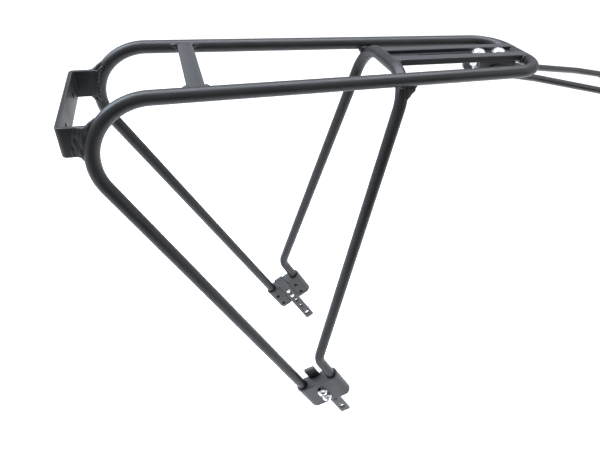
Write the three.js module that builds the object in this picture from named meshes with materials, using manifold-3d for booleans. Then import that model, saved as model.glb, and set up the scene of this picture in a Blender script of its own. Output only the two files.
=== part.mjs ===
// Rear luggage rack for a bicycle, bent from two aluminium tubes.
// Millimetres. +X points to the front of the bicycle, +Y to its left, +Z up.
// The origin lies midway between the two dropout eyes, where the rack is bolted to the bicycle's frame.
// The rack is drawn from its deck: x, y and z below are measured from the deck tubes' centre plane,
// and the whole drawing is then moved so that the origin falls between the dropout eyes.
// The left half is drawn, and the right half is its mirror image in the plane y = 0.

import * as THREE from "three";
import { mergeVertices } from "three/addons/utils/BufferGeometryUtils.js";
import Module from "manifold-3d";

const wasm = await Module();
wasm.setup();

// ---------- driving dimensions ----------

const GAP = 0.3; // between pieces that touch on the real rack
const TUBE_RADIUS = 5;
const TUBE_SIDES = 16;
const ROUND_SIDES = 20; // of holes, shanks and washers

// Main loop: deck side, front U, rear bend and rear diagonal leg.
const DECK_REAR = { x: -44.8, halfWidth: 49.8 };
const DECK_FRONT = { x: 335.8, halfWidth: 37 };
const DIAGONAL_FOOT = new THREE.Vector3(160.9, 75.1, -367.3);
const REAR_BEND_RADIUS = 41;
const FRONT_BEND_RADIUS = 25;

// Front leg hoop.
const HOOP_TOP = new THREE.Vector3(210.2, 39.6, 0);
const HOOP_BEND_RADIUS = 28;
const KINK_BEND_RADIUS = 24;
const KINK_HEIGHT = 73; // above the foot block's lower face

// Foot block, in its own frame: x to the front leg, y outwards, z up along both tubes.
const LEG_SPACING = 34;
const FOOT_TWIST = THREE.MathUtils.degToRad(6);
const BLOCK_HEIGHT = 40;
const LOBE_RADIUS = 7.2;
const SOCKET_RADIUS = TUBE_RADIUS + GAP;
const SOCKET_FLOOR = 8;
const BLOCK_EDGE = 2;
const CHANNEL_WIDTH = 12.6;
const CHANNEL_FLOOR = -3.6;
const SLOT_WIDTH = 5.6;
const SLOT_TOP = 30;

// Dropout tongue: a flat plate in the channel, facing the wheel.
const TONGUE_CENTRE = 15.6;
const TONGUE_WIDTH = 12;
const TONGUE_THICKNESS = 3;
const TONGUE_TOP = 56;
const TONGUE_BOTTOM = -54.5;
const TONGUE_OUTER_FACE = CHANNEL_FLOOR - GAP;
const TONGUE_CORNER = 2;
const FOOT_SCREW_HEIGHTS = [24.5, 12];
const TONGUE_SPARE_HOLES = [-3, -19.5];
const TONGUE_HOLE_RADIUS = 2.4;
const AXLE_HOLE_HEIGHT = -42;
const AXLE_HOLE_RADIUS = 3;

// M5 foot screws, with their heads on the block's outer face.
const FOOT_SHANK_RADIUS = 2;
const FOOT_HEAD_RADIUS = 4.6;
const FOOT_HEAD_HEIGHT = 3.4;
const FOOT_WASHER_RADIUS = 5.2;
const FOOT_WASHER_BORE = 2.6;
const FOOT_WASHER_THICKNESS = 1;
const FOOT_SCREW_TIP = -9;
const FOOT_SOCKET_RADIUS = 1.8;

// Rear cross plate, welded between the deck sides.
const CROSS_PLATE = { x: 54.3, width: 12, bottom: 0.6, top: 3.6 };

// Deck rail: a flat section with a groove along its top and a slot through its floor.
const RAIL_WIDTH = 29;
const RAIL_TOP = 5;
const RAIL_BOTTOM = -0.2;
const RAIL_EDGE = 0.8;
const GROOVE_WIDTH = 12.6;
const GROOVE_FLOOR = 1.8;
const RAIL_SLOT = { start: 238, end: 324, width: 6.6 };

// Rear light bracket: a flat bar bent into a U.
const LIGHT_BAR = { back: -34.8, armEnd: -14, halfWidth: 48.6, top: -16.4, bottom: -37.8 };
const LIGHT_BAR_THICKNESS = 3;
const LIGHT_BAR_BEND = 4;
const LIGHT_HOLE_SPACING = 50;
const LIGHT_HOLE_RADIUS = 2.75;

// Stay bracket: a U channel hung under the deck rail.
const BRACKET = { back: 292, front: 328, halfWidth: 11.6, thickness: 2.4, drop: 15.5, corner: 5 };
const BRACKET_TOP = RAIL_BOTTOM - GAP;

// M6 dome-head bolts through the rail slot and the bracket.
const STAY_BOLT_X = [296.5, 316.7];
const STAY_BOLT_SHANK = 2.6;
const STAY_BOLT_HEAD = 5.1;
const STAY_BOLT_DOME = 2.9;
const STAY_WASHER_RADIUS = 6;
const STAY_WASHER_THICKNESS = 1;
const STAY_NUT_FLATS = 9.6;
const STAY_NUT_HEIGHT = 4.6;
const STAY_BOLT_TIP = -10.6;
const STAY_BOLT_SOCKET_RADIUS = 2.1;

// Seat stays: 6 mm rods with a flattened eye at each end, pivoted on the bracket's flanges.
const STAY_PIVOT = new THREE.Vector3(306.6, 0, -9.4);
const STAY_LENGTH = 190;
const STAY_PITCH = THREE.MathUtils.degToRad(9);
const STAY_ROD_RADIUS = 3;
const STAY_SIDES = 12;
const STAY_SPLAY = 16;
const STAY_BEND_RADIUS = 60;
const STAY_STRAIGHT = 32; // at each end, before the splay
const EYE_RADIUS = 6;
const EYE_THICKNESS = 3;
const EYE_HOLE_RADIUS = 2.75;
const EYE_LENGTH = 15;
const EYE_OVERLAP = 4; // of the rod over the flattened part
const PIVOT_SHANK_RADIUS = 2.3;
const PIVOT_HEAD_RADIUS = 4.4;
const PIVOT_HEAD_HEIGHT = 2.8;
const PIVOT_NUT_FLATS = 8;
const PIVOT_NUT_HEIGHT = 3.6;
const PIVOT_TIP_STANDOUT = 1;
const PIVOT_SOCKET_RADIUS = 1.8;

const CHAMFER = 0.5; // on the screws' tips and heads
const PAST = 1; // how far a cutting tool reaches past the face that it cuts

// ---------- finishes ----------

const FINISHES = {
  blackTube: { color: 0x2b2b2e, roughness: 0.5, metalness: 0.1 },
  blackPlate: { color: 0x303033, roughness: 0.55, metalness: 0.1 },
  blackCasting: { color: 0x2e2e30, roughness: 0.6, metalness: 0.1 },
  blackSteel: { color: 0x2a2a2d, roughness: 0.45, metalness: 0.2 },
  zincSteel: { color: 0xc9cbd0, roughness: 0.28, metalness: 1 },
};

// ---------- solids ----------

function toManifold(geometry) {
  const bare = geometry.index ? geometry.toNonIndexed() : geometry.clone();
  bare.deleteAttribute("normal");
  bare.deleteAttribute("uv");
  const merged = mergeVertices(bare, 1e-3);
  return new wasm.Manifold(
    new wasm.Mesh({
      numProp: 3,
      vertProperties: new Float32Array(merged.attributes.position.array),
      triVerts: new Uint32Array(merged.index.array),
    }),
  );
}

function toGeometry(solid) {
  const mesh = solid.getMesh();
  const geometry = new THREE.BufferGeometry();
  const positions = new Float32Array(mesh.vertProperties);
  geometry.setAttribute("position", new THREE.BufferAttribute(positions, 3));
  geometry.setIndex(new THREE.BufferAttribute(new Uint32Array(mesh.triVerts), 1));
  const flat = geometry.toNonIndexed();
  flat.computeVertexNormals();
  return flat;
}

function cut(body, ...tools) {
  let result = toManifold(body);
  for (const tool of tools) {
    result = result.subtract(toManifold(tool));
  }
  return toGeometry(result);
}

function join(...bodies) {
  let result = toManifold(bodies[0]);
  for (const body of bodies.slice(1)) {
    result = result.add(toManifold(body));
  }
  return toGeometry(result);
}

function box(x0, x1, y0, y1, z0, z1) {
  const geometry = new THREE.BoxGeometry(x1 - x0, y1 - y0, z1 - z0);
  geometry.translate((x0 + x1) / 2, (y0 + y1) / 2, (z0 + z1) / 2);
  return geometry;
}

// A cylinder along Z between two heights.
function cylinderZ(radius, z0, z1, x = 0, y = 0, sides = ROUND_SIDES) {
  const geometry = new THREE.CylinderGeometry(radius, radius, z1 - z0, sides);
  geometry.rotateX(Math.PI / 2);
  geometry.translate(x, y, (z0 + z1) / 2);
  return geometry;
}

// A cylinder along Y between two distances.
function cylinderY(radius, y0, y1, x = 0, z = 0, sides = ROUND_SIDES) {
  const geometry = new THREE.CylinderGeometry(radius, radius, y1 - y0, sides);
  geometry.translate(x, (y0 + y1) / 2, z);
  return geometry;
}

// A closed outline in X and Y, raised along Z.
function raise(shape, z0, z1, curveSegments = 6) {
  const geometry = new THREE.ExtrudeGeometry(shape, {
    depth: z1 - z0,
    bevelEnabled: false,
    curveSegments,
  });
  geometry.translate(0, 0, z0);
  return geometry;
}

function roundedRectangle(x0, x1, y0, y1, radius) {
  const shape = new THREE.Shape();
  shape.moveTo(x0 + radius, y0);
  shape.lineTo(x1 - radius, y0);
  shape.absarc(x1 - radius, y0 + radius, radius, -Math.PI / 2, 0);
  shape.lineTo(x1, y1 - radius);
  shape.absarc(x1 - radius, y1 - radius, radius, 0, Math.PI / 2);
  shape.lineTo(x0 + radius, y1);
  shape.absarc(x0 + radius, y1 - radius, radius, Math.PI / 2, Math.PI);
  shape.lineTo(x0, y0 + radius);
  shape.absarc(x0 + radius, y0 + radius, radius, Math.PI, 1.5 * Math.PI);
  return shape;
}

// ---------- bent tubes ----------

// A path whose rings lie only where the tube needs them: at its ends and along its bends.
class StationPath extends THREE.Curve {
  constructor(stations) {
    super();
    this.stations = stations;
  }

  station(t) {
    return this.stations[Math.round(t * (this.stations.length - 1))];
  }

  getPointAt(t) {
    return this.station(t).point.clone();
  }

  getTangentAt(t) {
    return this.station(t).tangent.clone();
  }
}

// Straight runs through the corner points, with each corner rounded to its bend radius.
function bentPath(corners, radii, bendSteps = 9) {
  const stations = [];
  const last = corners.length - 1;
  const first = corners[1].clone().sub(corners[0]).normalize();
  stations.push({ point: corners[0].clone(), tangent: first });
  for (let i = 1; i < last; i += 1) {
    const before = corners[i].clone().sub(corners[i - 1]).normalize();
    const after = corners[i + 1].clone().sub(corners[i]).normalize();
    const turn = before.angleTo(after);
    const axis = before.clone().cross(after).normalize();
    const reach = radii[i - 1] * Math.tan(turn / 2);
    const start = corners[i].clone().addScaledVector(before, -reach);
    const inward = axis.clone().cross(before).normalize();
    const centre = start.clone().addScaledVector(inward, radii[i - 1]);
    for (let k = 0; k <= bendSteps; k += 1) {
      const angle = (turn * k) / bendSteps;
      const spoke = start.clone().sub(centre).applyAxisAngle(axis, angle);
      const tangent = before.clone().applyAxisAngle(axis, angle);
      stations.push({ point: centre.clone().add(spoke), tangent });
    }
  }
  const end = corners[last].clone().sub(corners[last - 1]).normalize();
  stations.push({ point: corners[last].clone(), tangent: end });
  return new StationPath(stations);
}

// An arc gets two points for each curve segment.
function tube(path, radius, sides = TUBE_SIDES) {
  const section = new THREE.Shape();
  section.absarc(0, 0, radius, 0, 2 * Math.PI);
  return new THREE.ExtrudeGeometry(section, {
    steps: path.stations.length - 1,
    curveSegments: sides / 2,
    bevelEnabled: false,
    extrudePath: path,
  });
}

function mirrored(point) {
  return new THREE.Vector3(point.x, -point.y, point.z);
}

// The left half's corner points, followed by their mirror images in reverse order.
function bothSides(corners) {
  return [...corners, ...corners.map(mirrored).reverse()];
}

// ---------- foot frame ----------

const rearApex = new THREE.Vector3(DECK_REAR.x, DECK_REAR.halfWidth, 0);
const frontApex = new THREE.Vector3(DECK_FRONT.x, DECK_FRONT.halfWidth, 0);
const footUp = rearApex.clone().sub(DIAGONAL_FOOT).normalize();
const plumbOutwards = new THREE.Vector3(0, 1, 0);
plumbOutwards.addScaledVector(footUp, -plumbOutwards.dot(footUp)).normalize();
const footOutwards = plumbOutwards.clone().applyAxisAngle(footUp, FOOT_TWIST);
const footForwards = footOutwards.clone().cross(footUp);
const footMatrix = new THREE.Matrix4().makeBasis(footForwards, footOutwards, footUp);
footMatrix.setPosition(DIAGONAL_FOOT);

function inFoot(x, y, z) {
  return new THREE.Vector3(x, y, z).applyMatrix4(footMatrix);
}

// ---------- frame tubes ----------

const TUBE_END = SOCKET_FLOOR + GAP;

function mainLoopPath() {
  const corners = bothSides([inFoot(0, 0, TUBE_END), rearApex, frontApex]);
  const radii = [REAR_BEND_RADIUS, FRONT_BEND_RADIUS, FRONT_BEND_RADIUS, REAR_BEND_RADIUS];
  return bentPath(corners, radii);
}

function hoopPath() {
  const left = [
    inFoot(LEG_SPACING, 0, TUBE_END),
    inFoot(LEG_SPACING, 0, KINK_HEIGHT),
    HOOP_TOP,
  ];
  const radii = [KINK_BEND_RADIUS, HOOP_BEND_RADIUS, HOOP_BEND_RADIUS, KINK_BEND_RADIUS];
  return bentPath(bothSides(left), radii);
}

function deckHalfWidth(x) {
  const along = (x - DECK_REAR.x) / (DECK_FRONT.x - DECK_REAR.x);
  return THREE.MathUtils.lerp(DECK_REAR.halfWidth, DECK_FRONT.halfWidth, along);
}

// ---------- plates and brackets ----------

function crossPlate() {
  const { x, width, bottom, top } = CROSS_PLATE;
  const reach = deckHalfWidth(x);
  const slab = box(x - width / 2, x + width / 2, -reach, reach, bottom, top);
  return cut(slab, tube(mainLoopPath(), TUBE_RADIUS + GAP));
}

function railSection() {
  const half = RAIL_WIDTH / 2;
  const groove = GROOVE_WIDTH / 2;
  const section = new THREE.Shape();
  section.moveTo(-half, RAIL_BOTTOM);
  section.lineTo(half, RAIL_BOTTOM);
  section.lineTo(half, RAIL_TOP - RAIL_EDGE);
  section.lineTo(half - RAIL_EDGE, RAIL_TOP);
  section.lineTo(groove, RAIL_TOP);
  section.lineTo(groove, GROOVE_FLOOR);
  section.lineTo(-groove, GROOVE_FLOOR);
  section.lineTo(-groove, RAIL_TOP);
  section.lineTo(-half + RAIL_EDGE, RAIL_TOP);
  section.lineTo(-half, RAIL_TOP - RAIL_EDGE);
  return section;
}

// The section is drawn in X and Z, raised, and laid along the bicycle.
function deckRail() {
  const rail = raise(railSection(), HOOP_TOP.x, DECK_FRONT.x);
  rail.rotateX(Math.PI / 2);
  rail.rotateZ(Math.PI / 2);
  const { start, end, width } = RAIL_SLOT;
  const slot = raise(
    roundedRectangle(start, end, -width / 2, width / 2, width / 2 - 0.01),
    RAIL_BOTTOM - PAST,
    GROOVE_FLOOR + PAST,
  );
  const hoop = tube(hoopPath(), TUBE_RADIUS + GAP);
  const loop = tube(mainLoopPath(), TUBE_RADIUS + GAP);
  return cut(rail, slot, hoop, loop);
}

function lightBracket() {
  const { back, armEnd, halfWidth, top, bottom } = LIGHT_BAR;
  const thickness = LIGHT_BAR_THICKNESS;
  const outline = roundedRectangle(back, -back, -halfWidth, halfWidth, LIGHT_BAR_BEND);
  const outer = raise(outline, bottom, top);
  const hollow = roundedRectangle(
    back + thickness,
    -back,
    -halfWidth + thickness,
    halfWidth - thickness,
    LIGHT_BAR_BEND - thickness,
  );
  const inner = raise(hollow, bottom - PAST, top + PAST);
  const front = box(
    armEnd,
    -back + PAST,
    -halfWidth - PAST,
    halfWidth + PAST,
    bottom - PAST,
    top + PAST,
  );
  const loop = tube(mainLoopPath(), TUBE_RADIUS + GAP);
  const holes = [-1, 1].map((side) => {
    const hole = cylinderZ(LIGHT_HOLE_RADIUS, -thickness, thickness);
    hole.rotateY(Math.PI / 2);
    hole.translate(back + thickness / 2, (side * LIGHT_HOLE_SPACING) / 2, (top + bottom) / 2);
    return hole;
  });
  return cut(outer, inner, front, loop, ...holes);
}

function stayBracket() {
  const { back, front, halfWidth, thickness, drop, corner } = BRACKET;
  const bottom = BRACKET_TOP - drop;
  const side = roundedRectangle(back, front, bottom, BRACKET_TOP + corner, corner);
  const channel = raise(side, -halfWidth, halfWidth);
  channel.rotateX(Math.PI / 2);
  const above = box(
    back - PAST,
    front + PAST,
    -halfWidth - PAST,
    halfWidth + PAST,
    BRACKET_TOP,
    BRACKET_TOP + 2 * corner,
  );
  const inside = box(
    back - PAST,
    front + PAST,
    -halfWidth + thickness,
    halfWidth - thickness,
    bottom - PAST,
    BRACKET_TOP - thickness,
  );
  const boltHoles = STAY_BOLT_X.map((x) =>
    cylinderZ(STAY_BOLT_SHANK + GAP, BRACKET_TOP - 2 * thickness, BRACKET_TOP + PAST, x),
  );
  const pivotHole = cylinderY(
    PIVOT_SHANK_RADIUS + GAP,
    -halfWidth - PAST,
    halfWidth + PAST,
    STAY_PIVOT.x,
    STAY_PIVOT.z,
  );
  return cut(channel, above, inside, ...boltHoles, pivotHole);
}

// ---------- feet, in the foot's own frame ----------

function stadium(x0, x1, radius) {
  const shape = new THREE.Shape();
  shape.moveTo(x0, -radius);
  shape.lineTo(x1, -radius);
  shape.absarc(x1, 0, radius, -Math.PI / 2, Math.PI / 2);
  shape.lineTo(x0, radius);
  shape.absarc(x0, 0, radius, Math.PI / 2, 1.5 * Math.PI);
  return shape;
}

// A slot from y0 to y1 that is open at the bottom and round at the top, seen from outside.
function openSlot(width, y0, y1) {
  const half = width / 2;
  const straight = box(TONGUE_CENTRE - half, TONGUE_CENTRE + half, y0, y1, -PAST, SLOT_TOP);
  return join(straight, cylinderY(half, y0, y1, TONGUE_CENTRE, SLOT_TOP));
}

function footBlock() {
  const outline = stadium(0, LEG_SPACING, LOBE_RADIUS - BLOCK_EDGE);
  const body = new THREE.ExtrudeGeometry(outline, {
    depth: BLOCK_HEIGHT - 2 * BLOCK_EDGE,
    bevelSize: BLOCK_EDGE,
    bevelThickness: BLOCK_EDGE,
    bevelSegments: 3,
    curveSegments: 6,
  });
  body.translate(0, 0, BLOCK_EDGE);
  const sockets = [0, LEG_SPACING].map((x) =>
    cylinderZ(SOCKET_RADIUS, SOCKET_FLOOR, BLOCK_HEIGHT + PAST, x),
  );
  const channel = box(
    TONGUE_CENTRE - CHANNEL_WIDTH / 2,
    TONGUE_CENTRE + CHANNEL_WIDTH / 2,
    -LOBE_RADIUS - PAST,
    CHANNEL_FLOOR,
    -PAST,
    BLOCK_HEIGHT + PAST,
  );
  const slot = openSlot(SLOT_WIDTH, CHANNEL_FLOOR - PAST, LOBE_RADIUS + PAST);
  return cut(body, ...sockets, channel, slot);
}

function dropoutTongue() {
  const outline = roundedRectangle(
    TONGUE_CENTRE - TONGUE_WIDTH / 2,
    TONGUE_CENTRE + TONGUE_WIDTH / 2,
    TONGUE_BOTTOM,
    TONGUE_TOP,
    TONGUE_CORNER,
  );
  const inner = TONGUE_OUTER_FACE - TONGUE_THICKNESS;
  const plate = raise(outline, -TONGUE_OUTER_FACE, -inner, 4);
  plate.rotateX(Math.PI / 2);
  const holes = [...FOOT_SCREW_HEIGHTS, ...TONGUE_SPARE_HOLES].map((z) =>
    cylinderY(TONGUE_HOLE_RADIUS, inner - PAST, TONGUE_OUTER_FACE + PAST, TONGUE_CENTRE, z),
  );
  const axleHole = cylinderY(
    AXLE_HOLE_RADIUS,
    inner - PAST,
    TONGUE_OUTER_FACE + PAST,
    TONGUE_CENTRE,
    AXLE_HOLE_HEIGHT,
  );
  return cut(plate, ...holes, axleHole);
}

// A dome-head screw turned about Z: the head's seat is at z = 0 and the shank hangs below it.
function domeScrew(headRadius, domeHeight, shankRadius, shankLength, socketRadius) {
  const profile = [
    new THREE.Vector2(0, -shankLength),
    new THREE.Vector2(shankRadius - CHAMFER, -shankLength),
    new THREE.Vector2(shankRadius, -shankLength + CHAMFER),
    new THREE.Vector2(shankRadius, 0),
    new THREE.Vector2(headRadius, 0),
    new THREE.Vector2(headRadius, CHAMFER),
  ];
  const steps = 4;
  for (let k = 1; k <= steps; k += 1) {
    const angle = ((Math.PI / 2) * k) / (steps + 1);
    const height = CHAMFER + (domeHeight - CHAMFER) * Math.sin(angle);
    profile.push(new THREE.Vector2(headRadius * Math.cos(angle), height));
  }
  profile.push(new THREE.Vector2(0, domeHeight));
  const body = new THREE.LatheGeometry(profile, ROUND_SIDES);
  body.rotateX(Math.PI / 2);
  const socket = cylinderZ(socketRadius, domeHeight / 3, domeHeight + PAST, 0, 0, 6);
  return cut(body, socket);
}

function ring(outer, bore, thickness) {
  return cut(cylinderZ(outer, 0, thickness), cylinderZ(bore, -PAST, thickness + PAST));
}

function hexNut(flats, bore, height) {
  const corner = flats / 2 / Math.cos(Math.PI / 6);
  return cut(cylinderZ(corner, 0, height, 0, 0, 6), cylinderZ(bore, -PAST, height + PAST));
}

// ---------- seat stay, about its pivot, along +X ----------

// A flattened rod end with round tips, from x0 to x1, whose inner face is at distance y.
function eyeBlade(x0, x1, y) {
  const blade = raise(
    roundedRectangle(x0, x1, -EYE_RADIUS, EYE_RADIUS, EYE_RADIUS - 0.01),
    -y - EYE_THICKNESS,
    -y,
  );
  blade.rotateX(Math.PI / 2);
  return blade;
}

function seatStay() {
  const start = EYE_LENGTH;
  const end = STAY_LENGTH - EYE_LENGTH;
  const near = STAY_ROD_RADIUS;
  const far = STAY_ROD_RADIUS + STAY_SPLAY;
  const corners = [
    new THREE.Vector3(start - EYE_OVERLAP, near, 0),
    new THREE.Vector3(start + STAY_STRAIGHT, near, 0),
    new THREE.Vector3(end - STAY_STRAIGHT, far, 0),
    new THREE.Vector3(end + EYE_OVERLAP, far, 0),
  ];
  const path = bentPath(corners, [STAY_BEND_RADIUS, STAY_BEND_RADIUS], 5);
  const rod = tube(path, STAY_ROD_RADIUS, STAY_SIDES);
  const pivotEye = eyeBlade(-EYE_RADIUS, start, 0);
  const farEye = eyeBlade(end, STAY_LENGTH + EYE_RADIUS, STAY_SPLAY);
  const reach = far + EYE_THICKNESS;
  const holes = [0, STAY_LENGTH].map((x) => cylinderY(EYE_HOLE_RADIUS, -PAST, reach, x, 0));
  return cut(join(rod, pivotEye, farEye), ...holes);
}

// ---------- assembly ----------

const dropoutEye = inFoot(
  TONGUE_CENTRE,
  TONGUE_OUTER_FACE - TONGUE_THICKNESS,
  AXLE_HOLE_HEIGHT,
);
const rack = new THREE.Group();
const drawing = new THREE.Group();
drawing.position.set(-dropoutEye.x, 0, -dropoutEye.z);
rack.add(drawing);

function add(parent, name, geometry, finish) {
  const material = new THREE.MeshStandardMaterial(FINISHES[finish]);
  const mesh = new THREE.Mesh(geometry, material);
  mesh.name = name;
  parent.add(mesh);
  return mesh;
}

function buildFrame() {
  add(drawing, "main_loop_tube", tube(mainLoopPath(), TUBE_RADIUS), "blackTube");
  add(drawing, "front_leg_hoop", tube(hoopPath(), TUBE_RADIUS), "blackTube");
  add(drawing, "rear_cross_plate", crossPlate(), "blackPlate");
  add(drawing, "deck_rail", deckRail(), "blackPlate");
  add(drawing, "rear_light_bracket", lightBracket(), "blackPlate");
}

// Adds a fastener whose own Z axis then points outwards, with its seat at y.
function addOutwards(parent, name, geometry, finish, x, y, z) {
  const mesh = add(parent, name, geometry, finish);
  mesh.rotation.x = -Math.PI / 2;
  mesh.position.set(x, y, z);
}

function buildFootScrew(foot, side, label, z) {
  const washerSeat = LOBE_RADIUS + GAP;
  const headSeat = washerSeat + FOOT_WASHER_THICKNESS + GAP;
  const x = TONGUE_CENTRE;
  const washer = ring(FOOT_WASHER_RADIUS, FOOT_WASHER_BORE, FOOT_WASHER_THICKNESS);
  const screw = domeScrew(
    FOOT_HEAD_RADIUS,
    FOOT_HEAD_HEIGHT,
    FOOT_SHANK_RADIUS,
    headSeat - FOOT_SCREW_TIP,
    FOOT_SOCKET_RADIUS,
  );
  addOutwards(foot, `foot_washer_${label}_${side}`, washer, "zincSteel", x, washerSeat, z);
  addOutwards(foot, `foot_screw_${label}_${side}`, screw, "zincSteel", x, headSeat, z);
}

function buildFoot(parent, side) {
  const foot = new THREE.Group();
  foot.applyMatrix4(footMatrix);
  parent.add(foot);
  add(foot, `foot_block_${side}`, footBlock(), "blackCasting");
  add(foot, `dropout_tongue_${side}`, dropoutTongue(), "blackSteel");
  buildFootScrew(foot, side, "upper", FOOT_SCREW_HEIGHTS[0]);
  buildFootScrew(foot, side, "lower", FOOT_SCREW_HEIGHTS[1]);
}

function buildStayBolt(x, label) {
  const bore = STAY_BOLT_SHANK + GAP;
  const washerSeat = GROOVE_FLOOR + GAP;
  const headSeat = washerSeat + STAY_WASHER_THICKNESS + GAP;
  const nutSeat = BRACKET_TOP - BRACKET.thickness - GAP;
  const washer = ring(STAY_WASHER_RADIUS, bore, STAY_WASHER_THICKNESS);
  const bolt = domeScrew(
    STAY_BOLT_HEAD,
    STAY_BOLT_DOME,
    STAY_BOLT_SHANK,
    headSeat - STAY_BOLT_TIP,
    STAY_BOLT_SOCKET_RADIUS,
  );
  const nut = hexNut(STAY_NUT_FLATS, bore, STAY_NUT_HEIGHT);
  washer.translate(x, 0, washerSeat);
  bolt.translate(x, 0, headSeat);
  nut.translate(x, 0, nutSeat - STAY_NUT_HEIGHT);
  add(drawing, `stay_bolt_washer_${label}`, washer, "zincSteel");
  add(drawing, `stay_bolt_${label}`, bolt, "zincSteel");
  add(drawing, `stay_bolt_nut_${label}`, nut, "zincSteel");
}

function buildStay(parent, side) {
  const eyeFace = BRACKET.halfWidth + GAP;
  const headSeat = eyeFace + EYE_THICKNESS + GAP;
  const nutFace = BRACKET.halfWidth - BRACKET.thickness - GAP;
  const tip = nutFace - PIVOT_NUT_HEIGHT - PIVOT_TIP_STANDOUT;
  const stay = add(parent, `seat_stay_${side}`, seatStay(), "blackTube");
  stay.position.set(STAY_PIVOT.x, eyeFace, STAY_PIVOT.z);
  stay.rotation.y = STAY_PITCH;
  const screw = domeScrew(
    PIVOT_HEAD_RADIUS,
    PIVOT_HEAD_HEIGHT,
    PIVOT_SHANK_RADIUS,
    headSeat - tip,
    PIVOT_SOCKET_RADIUS,
  );
  const nut = hexNut(PIVOT_NUT_FLATS, PIVOT_SHANK_RADIUS + GAP, PIVOT_NUT_HEIGHT);
  const nutSeat = nutFace - PIVOT_NUT_HEIGHT;
  const { x, z } = STAY_PIVOT;
  addOutwards(parent, `stay_pivot_screw_${side}`, screw, "blackSteel", x, headSeat, z);
  addOutwards(parent, `stay_pivot_nut_${side}`, nut, "blackSteel", x, nutSeat, z);
}

buildFrame();
add(drawing, "stay_bracket", stayBracket(), "blackSteel");
buildStayBolt(STAY_BOLT_X[0], "rear");
buildStayBolt(STAY_BOLT_X[1], "front");
for (const side of ["left", "right"]) {
  const half = new THREE.Group();
  half.scale.y = side === "left" ? 1 : -1;
  drawing.add(half);
  buildFoot(half, side);
  buildStay(half, side);
}

export default rack;
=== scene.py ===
# Rear luggage rack for a bicycle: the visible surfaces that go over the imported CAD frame.
import math

import bmesh
import bpy
from mathutils import Matrix, Quaternion, Vector


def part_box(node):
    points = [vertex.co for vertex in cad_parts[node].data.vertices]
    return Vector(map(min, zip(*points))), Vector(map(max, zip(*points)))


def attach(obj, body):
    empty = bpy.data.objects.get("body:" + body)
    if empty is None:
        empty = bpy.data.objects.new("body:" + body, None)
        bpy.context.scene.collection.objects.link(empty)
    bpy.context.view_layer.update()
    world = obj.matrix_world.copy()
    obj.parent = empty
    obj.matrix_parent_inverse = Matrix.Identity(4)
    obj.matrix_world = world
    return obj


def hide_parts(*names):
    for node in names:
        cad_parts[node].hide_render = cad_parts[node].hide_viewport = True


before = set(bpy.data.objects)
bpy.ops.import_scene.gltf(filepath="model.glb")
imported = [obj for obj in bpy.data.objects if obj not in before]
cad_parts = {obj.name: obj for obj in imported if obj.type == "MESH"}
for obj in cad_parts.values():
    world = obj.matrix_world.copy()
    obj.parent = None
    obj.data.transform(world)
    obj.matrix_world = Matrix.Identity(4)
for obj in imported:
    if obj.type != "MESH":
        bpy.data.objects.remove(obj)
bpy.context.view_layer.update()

# ---------- driving dimensions: millimetres in the deck frame ----------
# x to the front of the bicycle, y to its left, z up from the deck tubes' centre plane.

TUBE_RADIUS = 5.0
DECK_REAR = Vector((-44.8, 49.8, 0.0))
DECK_FRONT = Vector((335.8, 37.0, 0.0))
DIAGONAL_FOOT = Vector((160.9, 75.1, -367.3))
HOOP_TOP = Vector((210.2, 39.6, 0.0))
REAR_BEND = 41.0
FRONT_BEND = 25.0
HOOP_BEND = 28.0
KINK_BEND = 24.0
KINK_HEIGHT = 73.0

LEG_SPACING = 34.0
FOOT_TWIST = math.radians(6)
BLOCK_HEIGHT = 40.0
LOBE_RADIUS = 7.2
SOCKET_FLOOR = 8.0
SOCKET_CLEARANCE = 0.12
TUBE_END_GAP = 0.5
CHANNEL_WIDTH = 12.6
CHANNEL_FLOOR = -3.6
SLOT_WIDTH = 5.6
SLOT_TOP = 30.0
TONGUE_CENTRE = 15.6
TONGUE_WIDTH = 12.0
TONGUE_THICKNESS = 3.0
TONGUE_TOP = 56.0
TONGUE_BOTTOM = -54.5
TONGUE_FACE = -3.9
SCREW_HEIGHTS = {"upper": 24.5, "lower": 12.0}
SPARE_HOLES = (-3.0, -19.5)
SCREW_HOLE_RADIUS = 2.4
AXLE_HOLE_HEIGHT = -42.0
AXLE_HOLE_WIDTH, AXLE_HOLE_LENGTH = 6.0, 6.8
DIMPLE_X = (0.0, LEG_SPACING - 5.5)
DIMPLE_Z = (8.5, 26.5)
DIMPLE_RADIUS = 2.6
DIMPLE_STAND_OFF = 0.2

PLATE_X = 54.3
PLATE_WIDTH = 12.0
PLATE_BOTTOM, PLATE_TOP = 0.6, 3.6
RAIL_WIDTH = 29.0
RAIL_BOTTOM, RAIL_TOP = -0.2, 5.0
GROOVE_WIDTH = 12.6
GROOVE_FLOOR = 1.8
RAIL_SLOT_START, RAIL_SLOT_END = 238.0, 324.0
RAIL_SLOT_WIDTH = 6.6
BAR_BACK = -34.8
BAR_ARM_END = -14.0
BAR_HALF_WIDTH = 48.6
BAR_BOTTOM, BAR_TOP = -37.8, -16.4
BAR_THICKNESS = 3.0
BAR_BEND = 4.0
LIGHT_HOLE_SPACING = 50.0
LIGHT_HOLE_RADIUS = 2.75
BRACKET_BACK, BRACKET_FRONT = 292.0, 328.0
BRACKET_HALF_WIDTH = 11.6
BRACKET_THICKNESS = 2.4
BRACKET_TOP = -0.5
BRACKET_DROP = 15.5
BRACKET_CORNER = 5.0
STAY_BOLT_X = {"rear": 296.5, "front": 316.7}
STAY_BOLT_HOLE_RADIUS = 2.9
STAY_PIVOT = Vector((306.6, 0.0, -9.4))
PIVOT_HOLE_RADIUS = 2.6
STAY_LENGTH = 190.0
STAY_PITCH = math.radians(9)
STAY_SPLAY = 16.0
STAY_BEND = 60.0
STAY_STRAIGHT = 32.0
ROD_RADIUS = 3.0
EYE_RADIUS = 6.0
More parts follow.
